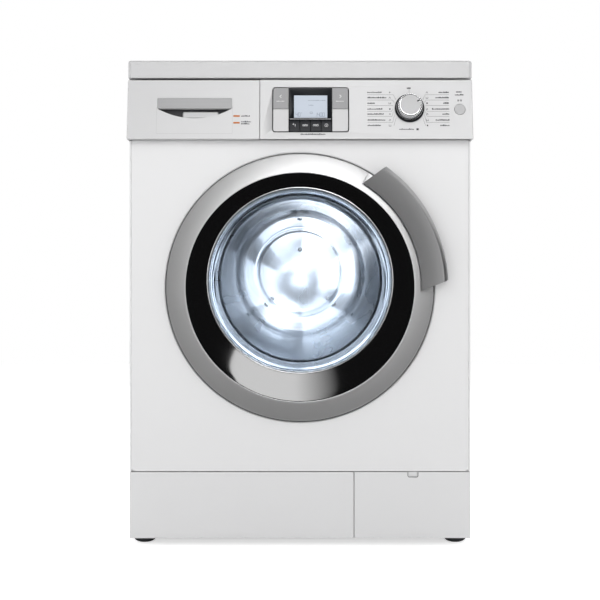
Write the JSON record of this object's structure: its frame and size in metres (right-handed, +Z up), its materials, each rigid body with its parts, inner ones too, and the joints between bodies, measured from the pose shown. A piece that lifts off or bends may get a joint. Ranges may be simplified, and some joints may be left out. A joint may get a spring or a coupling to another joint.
{
  "type": "front load washing machine",
  "caption": "Free-standing front-loading washing machine: round glass door in a silver ring, raked control panel with display and dial, detergent drawer, sprung tub and belt-driven drum.",
  "frame": {"origin": "centre of the bounding box in plan, at the floor under the feet", "axes": "+X to the machine's right as its user faces it, -Y out of the front, +Z up"},
  "size_m": [0.6, 0.62, 0.848],
  "materials": {
    "white_steel": "white powder coat",
    "worktop": "white laminated chipboard",
    "white_plastic": "satin white",
    "silver": "silver lacquer",
    "black_gloss": "high-gloss black",
    "black_keys": "black",
    "silver_keys": "silver",
    "glass": "clear",
    "stainless": "polished stainless",
    "zinc": "zinc plated",
    "cast_aluminium": "as cast",
    "motor": "painted, average of core and windings",
    "tub_plastic": "grey filled polypropylene",
    "base_plastic": "dark grey",
    "concrete": "cast concrete",
    "grey_rubber": "matt grey",
    "black_rubber": "matt black",
    "blue_plastic": "blue"
  },
  "bodies": {
    "cabinet": {"cabinet_shell": "white_steel", "front_panel": "white_steel", "worktop": "worktop", "base_tray": "base_plastic", "plinth": "white_plastic", "fascia": "white_plastic", "display_module": "black_gloss", "dispenser_housing": "white_plastic", "door_lock": "white_plastic", "hinge_bracket": "cast_aluminium", "door_gasket": "grey_rubber", "suspension_spring_left": "zinc", "suspension_spring_right": "zinc", "damper_cylinder_left": "tub_plastic", "damper_cylinder_right": "tub_plastic", "pump_housing": "tub_plastic", "inlet_valve": "blue_plastic", "drain_outlet": "grey_rubber", "cable_gland": "black_rubber"},
    "tub": {"tub_rear": "tub_plastic", "tub_front": "tub_plastic", "drum_bearing": "zinc", "front_counterweight": "concrete", "upper_counterweight": "concrete", "motor": "motor", "drive_belt": "black_rubber", "damper_rod_left": "zinc", "damper_rod_right": "zinc"},
    "drum": {"drum_shell": "stainless", "lifter_1": "white_plastic", "lifter_2": "white_plastic", "lifter_3": "white_plastic", "drum_spider": "cast_aluminium", "drum_pulley": "cast_aluminium"},
    "motor_rotor": {"motor_pulley": "zinc"},
    "door": {"door_frame": "silver", "door_bezel": "black_gloss", "door_inner_frame": "white_plastic", "door_glass": "glass", "hinge_pin": "zinc"},
    "handle": {"door_handle": "silver"},
    "latch": {"latch_hook": "zinc"},
    "drawer": {"drawer_front": "white_plastic", "drawer_tray": "white_plastic"},
    "dial": {"programme_dial": "silver"},
    "flap": {"service_flap": "white_plastic"},
    "filter": {"pump_filter": "blue_plastic"},
    "key_upper_left": {"key_upper_left": "silver_keys"},
    "key_lower_left": {"key_lower_left": "silver_keys"},
    "key_upper_right": {"key_upper_right": "silver_keys"},
    "key_lower_right": {"key_lower_right": "silver_keys"},
    "key_temperature": {"key_temperature": "black_keys"},
    "key_spin": {"key_spin": "black_keys"},
    "key_soil": {"key_soil": "black_keys"},
    "key_clear": {"key_clear": "black_keys"},
    "key_start": {"key_start": "silver_keys"},
    "foot_front_left": {"foot_front_left": "black_rubber"},
    "foot_front_right": {"foot_front_right": "black_rubber"},
    "foot_rear_left": {"foot_rear_left": "black_rubber"},
    "foot_rear_right": {"foot_rear_right": "black_rubber"}
  },
  "joints": [
    {"name": "tub_suspension", "type": "slide", "parent": "cabinet", "child": "tub", "axis": [0, 0, 1], "range_m": [-0.012, 0.012], "stiffness_N_per_m": 20000, "springref_m": 0.01934, "deforming": ["suspension_spring_left", "suspension_spring_right", "door_gasket"]},
    {"name": "drum_spin", "type": "hinge", "parent": "tub", "child": "drum", "pos_m": [0, 0.008, 0.464], "axis": [0, 1, 0], "continuous": true},
    {"name": "motor_spin", "type": "hinge", "parent": "tub", "child": "motor_rotor", "pos_m": [0.06, 0.238, 0.156], "axis": [0, 1, 0], "continuous": true},
    {"name": "door_hinge", "type": "hinge", "parent": "cabinet", "child": "door", "pos_m": [-0.222, -0.27, 0.452], "axis": [0, 0, -1], "range_deg": [0, 150]},
    {"name": "handle_pull", "type": "hinge", "parent": "door", "child": "handle", "pos_m": [0.16018, -0.278, 0.53933], "axis": [0.4787, 0, -0.878], "range_deg": [0, 14], "stiffness_Nm_per_rad": 4, "springref_deg": -2.86},
    {"name": "hook_turn", "type": "hinge", "parent": "door", "child": "latch", "pos_m": [0.2115, -0.27, 0.4375], "axis": [0, 0, 1], "range_deg": [0, 7]},
    {"name": "drawer_slide", "type": "slide", "parent": "cabinet", "child": "drawer", "axis": [0, -1, 0], "range_m": [0, 0.2]},
    {"name": "dial_turn", "type": "hinge", "parent": "cabinet", "child": "dial", "pos_m": [0.19, -0.28318, 0.76227], "axis": [0, -0.984, 0.1781], "continuous": true},
    {"name": "key_upper_left_press", "type": "slide", "parent": "cabinet", "child": "key_upper_left", "axis": [0, 0.984, -0.1781], "range_m": [0, 0.0015], "stiffness_N_per_m": 600, "springref_m": -0.0008},
    {"name": "key_lower_left_press", "type": "slide", "parent": "cabinet", "child": "key_lower_left", "axis": [0, 0.984, -0.1781], "range_m": [0, 0.0015], "stiffness_N_per_m": 600, "springref_m": -0.0008},
    {"name": "key_upper_right_press", "type": "slide", "parent": "cabinet", "child": "key_upper_right", "axis": [0, 0.984, -0.1781], "range_m": [0, 0.0015], "stiffness_N_per_m": 600, "springref_m": -0.0008},
    {"name": "key_lower_right_press", "type": "slide", "parent": "cabinet", "child": "key_lower_right", "axis": [0, 0.984, -0.1781], "range_m": [0, 0.0015], "stiffness_N_per_m": 600, "springref_m": -0.0008},
    {"name": "key_temperature_press", "type": "slide", "parent": "cabinet", "child": "key_temperature", "axis": [0, 0.984, -0.1781], "range_m": [0, 0.0015], "stiffness_N_per_m": 600, "springref_m": -0.0008},
    {"name": "key_spin_press", "type": "slide", "parent": "cabinet", "child": "key_spin", "axis": [0, 0.984, -0.1781], "range_m": [0, 0.0015], "stiffness_N_per_m": 600, "springref_m": -0.0008},
    {"name": "key_soil_press", "type": "slide", "parent": "cabinet", "child": "key_soil", "axis": [0, 0.984, -0.1781], "range_m": [0, 0.0015], "stiffness_N_per_m": 600, "springref_m": -0.0008},
    {"name": "key_clear_press", "type": "slide", "parent": "cabinet", "child": "key_clear", "axis": [0, 0.984, -0.1781], "range_m": [0, 0.0015], "stiffness_N_per_m": 600, "springref_m": -0.0008},
    {"name": "key_start_press", "type": "slide", "parent": "cabinet", "child": "key_start", "axis": [0, 0.984, -0.1781], "range_m": [0, 0.0015], "stiffness_N_per_m": 600, "springref_m": -0.0008},
    {"name": "foot_front_left_screw", "type": "hinge", "parent": "cabinet", "child": "foot_front_left", "pos_m": [-0.2765, -0.22, 0.02], "axis": [0, 0, 1], "continuous": true},
    {"name": "foot_front_right_screw", "type": "hinge", "parent": "cabinet", "child": "foot_front_right", "pos_m": [0.2765, -0.22, 0.02], "axis": [0, 0, 1], "continuous": true},
    {"name": "foot_rear_left_screw", "type": "hinge", "parent": "cabinet", "child": "foot_rear_left", "pos_m": [-0.2765, 0.243, 0.02], "axis": [0, 0, 1], "continuous": true},
    {"name": "foot_rear_right_screw", "type": "hinge", "parent": "cabinet", "child": "foot_rear_right", "pos_m": [0.2765, 0.243, 0.02], "axis": [0, 0, 1], "continuous": true},
    {"name": "flap_hinge", "type": "hinge", "parent": "cabinet", "child": "flap", "pos_m": [0.19685, -0.26, 0.014], "axis": [1, 0, 0], "range_deg": [0, 90]},
    {"name": "filter_turn", "type": "hinge", "parent": "cabinet", "child": "filter", "pos_m": [0.195, -0.212, 0.07], "axis": [0, 1, 0], "range_deg": [0, 90]}
  ],
  "couplings": [
    {"joint": "motor_spin", "follows": "drum_spin", "ratio": 14.155},
    {"joint": "hook_turn", "follows": "handle_pull", "ratio": 0.45}
  ]
}
